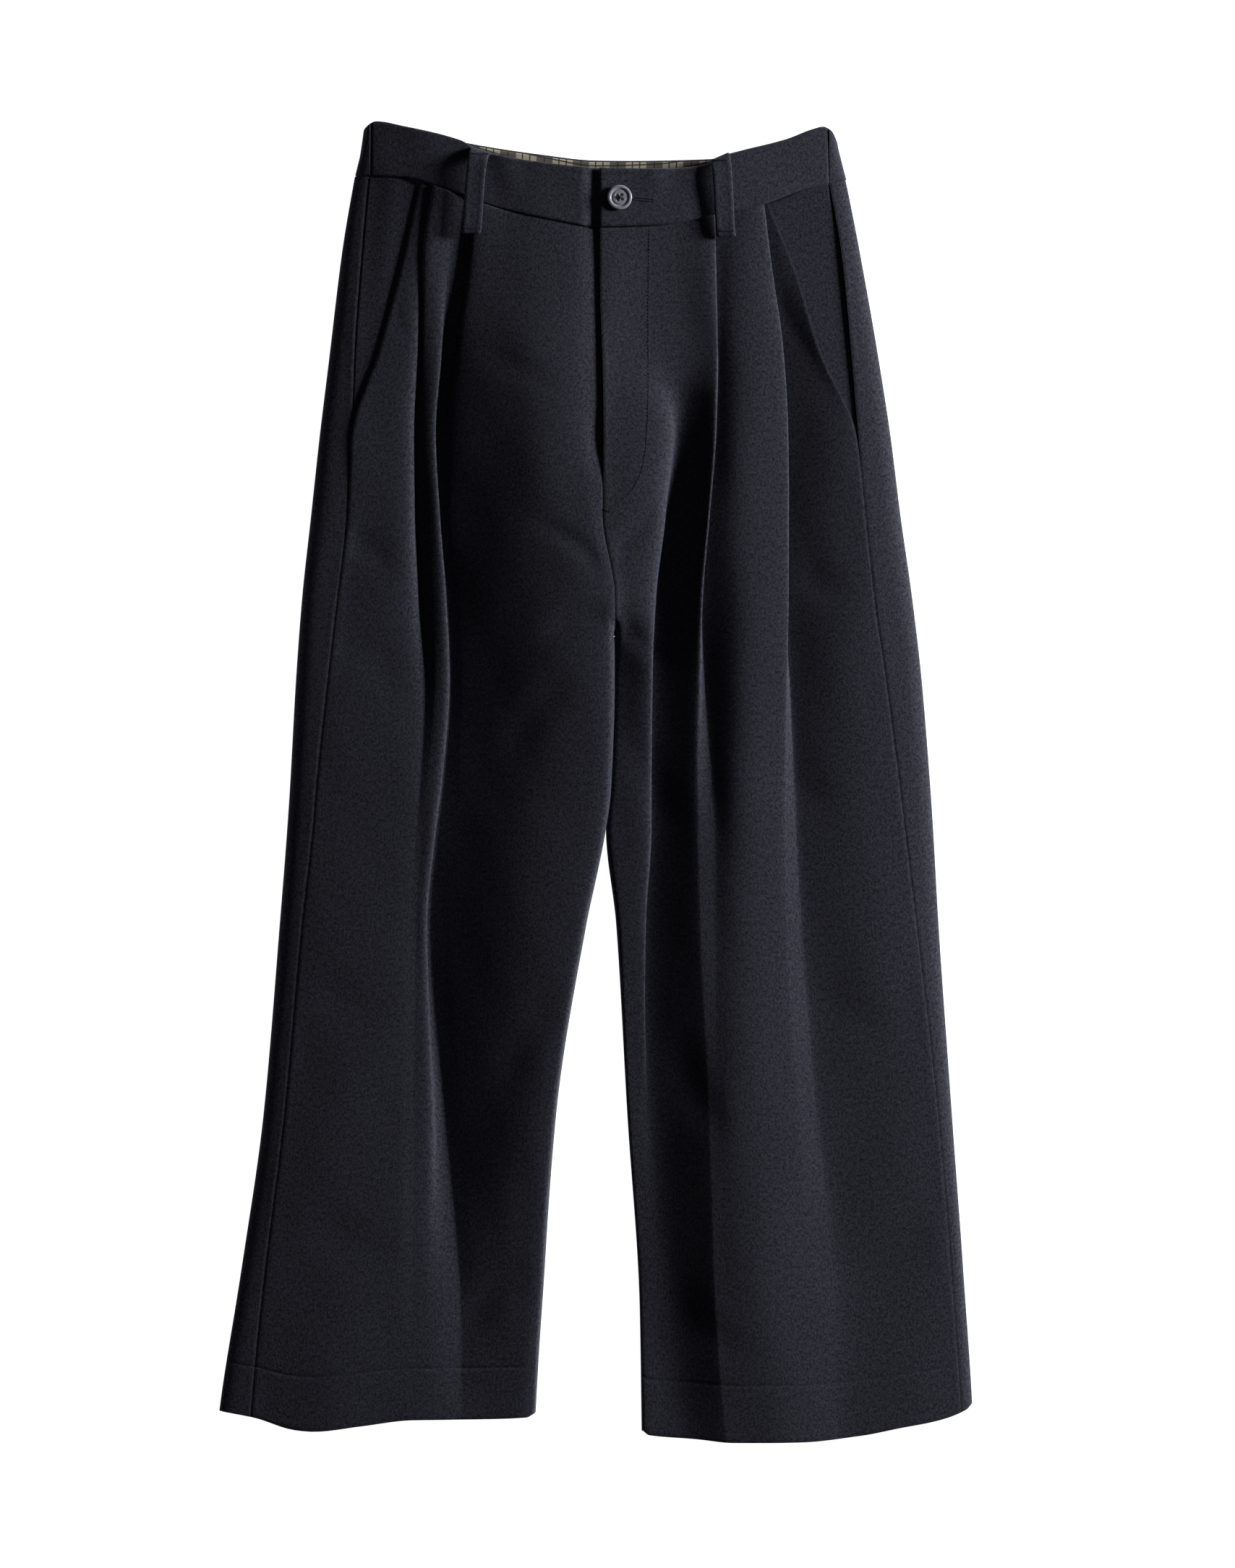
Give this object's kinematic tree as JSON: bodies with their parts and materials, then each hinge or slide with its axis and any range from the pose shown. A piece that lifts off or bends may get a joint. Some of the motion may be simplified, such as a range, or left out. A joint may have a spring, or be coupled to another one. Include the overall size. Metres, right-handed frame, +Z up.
{
  "type": "pleated wide-leg trousers",
  "caption": "Full-length wide-leg trousers of dark wool with reverse pleats, slant pockets and a buttoned waistband, laid flat on their back.",
  "frame": {"origin": "middle of the outline seen from above, on the surface that the trousers lie on", "axes": "+X towards the wearer's left, +Y from the hems to the waist, +Z up from the surface, out of the front"},
  "size_m": [0.5529, 0.9683, 0.0243],
  "materials": {
    "wool": "napped wool flannel",
    "check": "woven cotton check",
    "horn": "satin"
  },
  "bodies": {
    "root": {"front_right": "wool", "front_left": "wool", "back_right": "wool", "back_left": "wool", "pocket_facing_right": "wool", "pocket_facing_left": "wool", "waistband_front_right": "wool", "waistband_front_left": "wool", "waistband_back": "wool", "loop_front_right": "wool", "loop_front_left": "wool", "loop_back_right": "wool", "loop_back_centre": "wool", "loop_back_left": "wool", "waistband_lining": "check", "button": "horn"}
  },
  "joints": []
}
